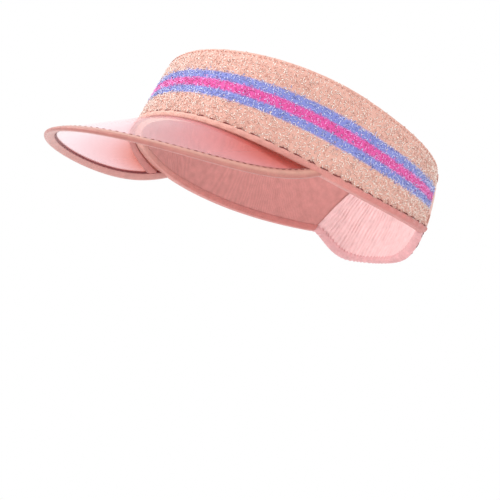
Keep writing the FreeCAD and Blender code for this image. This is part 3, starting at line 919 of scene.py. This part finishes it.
def bill_binding(material):
    """Satin bias tape rolled over the free edge of the sheet, its colour across the roll painted
    with light and shade.
    """
    end = root_turn(0)
    turn = np.linspace(-end, end, 520)
    sections = rim_sections(turn)
    across = np.broadcast_to(np.linspace(0, 1, sections.shape[1]), sections.shape[:2])
    piece = sweep("bill_binding", sections, material, {"across": across})
    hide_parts("bill_binding")
    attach(piece, "band")


def bill_threads(material):
    """The binding's seam, as it shows above and below."""
    end = root_turn(0) * SEWN_SHARE
    turn = np.linspace(-end, end, 1600)
    for name, side in (("bill_stitch_upper", 1), ("bill_stitch_lower", -1)):
        place, normal = rim_frame(turn, RIM_SEAM_SHARE, 0.0)
        line = place + side * normal * (BILL_THICK / 2 + RIM_CROWN * 0.62)
        rows = [stitch_row(line, side * normal, RIM_PITCH, share=0.6, sag=0.3, sway=0.06)]
        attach(thread_piece(name, rows, BILL_THREAD, material), "band")


def root_tape(material):
    """Tape under the root of the bill, between the ends of the binding; its deep red is partly
    painted shade under the root.
    """
    end = root_turn(1.0)
    turn = np.linspace(-end, end, 160)
    root_x, root_y = root_points(turn, 1.0)
    rim_x, rim_y = rim_plan(turn, 1.0)
    way = np.hypot(rim_x - root_x, rim_y - root_y)
    ring = []
    for reach, lift in ((0, -0.45), (1.2, -0.45), (2.4, -0.45), (2.9, -0.5), (3.0, -0.75),
                        (2.8, -1.1), (2, -1.2), (1, -1.2), (0, -1.2)):
        share = np.minimum(reach / np.maximum(way, 1e-6), 1)
        x = root_x + (rim_x - root_x) * share
        y = root_y + (rim_y - root_y) * share
        ring.append(np.stack((x, y, bill_height(x, y, lift)), -1))
    piece = sweep("bill_root_tape", np.stack(ring, 1), material)
    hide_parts("bill_root_tape")
    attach(piece, "band")


# --- side seams ----------------------------------------------------------------------------

TACKS = 8
TACK_PITCH = 0.75


def seam_tape(side, material):
    """A strip with soft edges over the end of the towelling, folded down over its cut."""
    low = (HEM_HEIGHT + 0.2) / SEAM_HEIGHT
    height = np.linspace(low, 0.995, 40)[:, None]
    # share of the tape's width from the seam, and inset, round its section
    outline = [(0.02, 4.4), (-0.04, 4.3), (-0.05, 3.4), (-0.05, 0.3), (-0.03, -0.6),
               (0.06, -0.95), (0.3, -1.05), (0.5, -1.0), (0.7, -1.05), (0.88, -0.95),
               (0.97, -0.5), (1.0, 0.3), (0.5, 0.5), (0.03, 0.6)]
    share = np.array([s for s, _ in outline])[None]
    inset = np.array([i for _, i in outline])[None] + 0.07 * np.sin(height * 60)
    along = side * (1 - np.maximum(share, 0) * SEAM_TAPE_WIDTH / HALF_BAND)
    points = band_points(along, height, inset)
    points[..., 1] += np.maximum(-share, 0) * SEAM_TAPE_WIDTH
    name = "seam_tape_left" if side > 0 else "seam_tape_right"
    piece = sweep(name, points, material)
    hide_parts(name)
    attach(piece, "band")


def bar_tacks(material):
    """Close rows of thread that lock both ends of each seam tape."""
    rows = []
    for side in (-1, 1):
        for first, step in ((HEM_HEIGHT + 2, TACK_PITCH), (SEAM_HEIGHT - 2, -TACK_PITCH)):
            for number in range(TACKS):
                height = (first + step * number) / SEAM_HEIGHT
                share = np.linspace(0.2, 0.8, 6)
                along = side * (1 - share * SEAM_TAPE_WIDTH / HALF_BAND)
                inset = -1.15 - 0.25 * np.sin(np.linspace(0, math.pi, 6))
                rows.append(band_points(along, height, inset)[None])
    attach(thread_piece("seam_bar_tacks", rows, TACK_THREAD, material), "band")


def care_label():
    """The small blank label keeps its own shape, with a woven satin face."""
    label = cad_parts["care_label"]
    satin = weave_material("label_satin", LABEL_WHITE, pitch=0.0003, roughness=0.4,
                           shine=0.3, relief=0.00004)
    for slot in label.material_slots:
        slot.material = satin


# --- nape ----------------------------------------------------------------------------------

NAPE_INSET = 0.8
NAPE_THICK = 3.2
NAPE_FOOT, NAPE_HEAD = -20.5, 26.0
NAPE_LEVEL_Y = (91.0, 101.0)         # where its lower and upper edges have levelled out
NAPE_TUCK = 0.3                      # how far it reaches in under the seams
NAPE_HALF_LENGTH = 62.0
CHANNELS = 4
RUCHE_PITCH = 3.3


def nape_points(along, height, inset, rise=0.0):
    """Points on the nape section: along -1 to 1 from seam to seam, height 0 to 1."""
    along, height, inset, rise = np.broadcast_arrays(along, height, inset, rise)
    side_z = FOOT[2] + height * (HEAD[2] - FOOT[2])
    back_z = NAPE_FOOT + height * (NAPE_HEAD - NAPE_FOOT)
    z = side_z
    for _ in range(6):
        width = through_levels(NAPE_RINGS, "half_width", z) - inset
        length = through_levels(NAPE_RINGS, "half_length", z) - inset
        end = np.arccos(np.clip((seam_y(z) - NAPE_TUCK) / length, -1, 1))
        angle = along * end
        x, y = width * np.sin(angle), length * np.cos(angle)
        start = seam_y(side_z)
        level = NAPE_LEVEL_Y[0] * (1 - height) + NAPE_LEVEL_Y[1] * height
        z = side_z + (back_z - side_z) * ease((y - start) / (level - start)) + rise
    return np.stack((x, y, z), -1)


def fold_phase(along):
    """Phase along the nape section of its gathered folds."""
    return along * NAPE_HALF_LENGTH / RUCHE_PITCH * 2 * math.pi


def ruche(along, height):
    """Depth of the gathered folds: deepest inside each channel, slight along its stitches."""
    fold = fold_phase(along)
    drift = 1.1 * np.sin(height * 9 + along * 5) + 0.9 * np.sin(along * 23)
    folds = np.sin(fold + drift) + 0.35 * np.sin(fold * 0.53 + 2 * drift)
    puff = np.abs(np.sin(math.pi * height * CHANNELS)) ** 0.5
    edge = np.clip((1 - np.abs(along)) * 14, 0, 1)
    return (0.25 + 0.75 * puff) * (0.55 * folds) * edge + 0.9 * puff * edge


def nape_cover(material):
    """The gathered cloth tube over the elastic: outer face, rounded top, and back."""
    stations, count = 460, 44
    along = np.linspace(-1, 1, stations)[:, None]
    up = np.linspace(0, 1, count)
    height = np.concatenate((up, up[::-1]))[None]
    outer = NAPE_INSET - ruche(along, up[None])
    inner = NAPE_INSET + NAPE_THICK + 0.45 * ruche(along + 0.01, up[None])[:, ::-1]
    rounding = 1.4 * (1 - np.clip(np.minimum(up, 1 - up) / 0.05, 0, 1)) ** 2
    inset = np.concatenate((outer + rounding, inner - rounding[::-1]), 1)
    top = np.concatenate((up ** 8, up[::-1] ** 8))[None]
    scallop = 0.5 * np.sin(fold_phase(along)) * top
    points = nape_points(along, height, inset, scallop)
    piece = sweep("nape_cover", points, material)
    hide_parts("nape_cover_outer", "nape_cover_inner", "nape_elastic")
    return piece


def nape_hem(material):
    """Gathered tape round the lower edge, scalloped by the pull of the elastic."""
    along = np.linspace(-1, 1, 420)[:, None]
    fold = fold_phase(along)
    waves = np.sin(fold + 1.1 * np.sin(along * 23))
    middle = NAPE_INSET + NAPE_THICK / 2
    half = NAPE_THICK / 2 + TAPE_THICK + 0.25 * waves
    tall = (HEM_HEIGHT + TAPE_THICK) / 2
    rises, insets = [], []
    for turn in np.linspace(0, 2 * math.pi, 22, endpoint=False):
        rises.append(tall - TAPE_THICK + tall * math.sin(turn) + 0.3 * waves)
        insets.append(middle + half * math.copysign(abs(math.cos(turn)) ** 0.7, math.cos(turn)))
    points = nape_points(along, 0.0, np.concatenate(insets, 1), np.concatenate(rises, 1))
    piece = sweep("nape_hem_binding", points, material)
    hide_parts("nape_hem_binding")
    return piece


def nape_face(along, height):
    return nape_points(along, height, NAPE_INSET - ruche(along, height))


def nape_hem_face(along, height):
    return nape_points(along, height, NAPE_INSET - TAPE_THICK - 0.2, HEM_HEIGHT - 0.8)


def nape_threads(dark, pale):
    """The channels' stitches through the elastic, and the stitches of the hem."""
    along = np.linspace(-0.97, 0.97, 900)
    rows = []
    for channel in range(1, CHANNELS):
        height = np.full_like(along, channel / CHANNELS)
        place, _, _, normal = frame_at(nape_face, along, height)
        rows.append(stitch_row(place, -normal, SEAM_PITCH, share=0.7, sag=0.25, sway=0.05))
    channels = thread_piece("nape_channel_stitch", rows, FINE_THREAD, pale)
    place, _, _, normal = frame_at(nape_hem_face, along, np.zeros_like(along))
    rows = [stitch_row(place, -normal, HEM_PITCH, share=0.6)]
    hem = thread_piece("nape_hem_stitch", rows, NAPE_HEM_THREAD, dark)
    return channels, hem


def stretch(pieces):
    """Bake each nape piece's transform into its mesh."""
    for piece in pieces:
        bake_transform(piece)


# --- build ---------------------------------------------------------------------------------

studio()
terry = terry_material()
# the hem tape runs from its pink at the sides to a paler front, painted as light
hem_cloth = weave_material("hem_tape", HEM_PINK, pitch=0.0004, roughness=0.55, shine=0.12,
                           stops=((0.0, HEM_PINK), (1.0, HEM_LIT_FRONT)))
# the binding's colour across its roll holds painted highlight and shade
bias = weave_material("bias_satin", BIAS_TAN, pitch=0.00035, roughness=0.42, shine=0.35,
                      relief=0.00006, stops=BIAS_LIGHT_AND_SHADE)
nape_hem_cloth = weave_material("nape_hem_tape", NAPE_HEM_PINK, pitch=0.0004,
                                roughness=0.55, shine=0.12)
seam_cloth = weave_material("seam_tape", SEAM_PEACH, pitch=0.0004, roughness=0.55, shine=0.12)
lining = weave_material("lining", LINING_SHADE_PINK, pitch=0.0005, roughness=0.85)
nape_cloth = weave_material("nape_jersey", NAPE_PINK, pitch=0.0004, roughness=0.8)
root_cloth = weave_material("root_tape", ROOT_TAPE_SHADE_RED, pitch=0.0004, roughness=0.7)
dark_thread = thread_material("dark_thread", THREAD_RED)
pale_thread = thread_material("pale_thread", THREAD_PEACH)

terry_shell(terry)
terry_loops(terry)
inner_lining(lining)
hem_binding(hem_cloth)
band_threads(dark_thread, pale_thread)
bill_sheet(vinyl_material())
bill_binding(bias)
bill_threads(dark_thread)
root_tape(root_cloth)
for side in (-1, 1):
    seam_tape(side, seam_cloth)
bar_tacks(pale_thread)
care_label()
nape_pieces = [nape_cover(nape_cloth), nape_hem(nape_hem_cloth)]
nape_pieces += nape_threads(dark_thread, pale_thread)
stretch(nape_pieces)
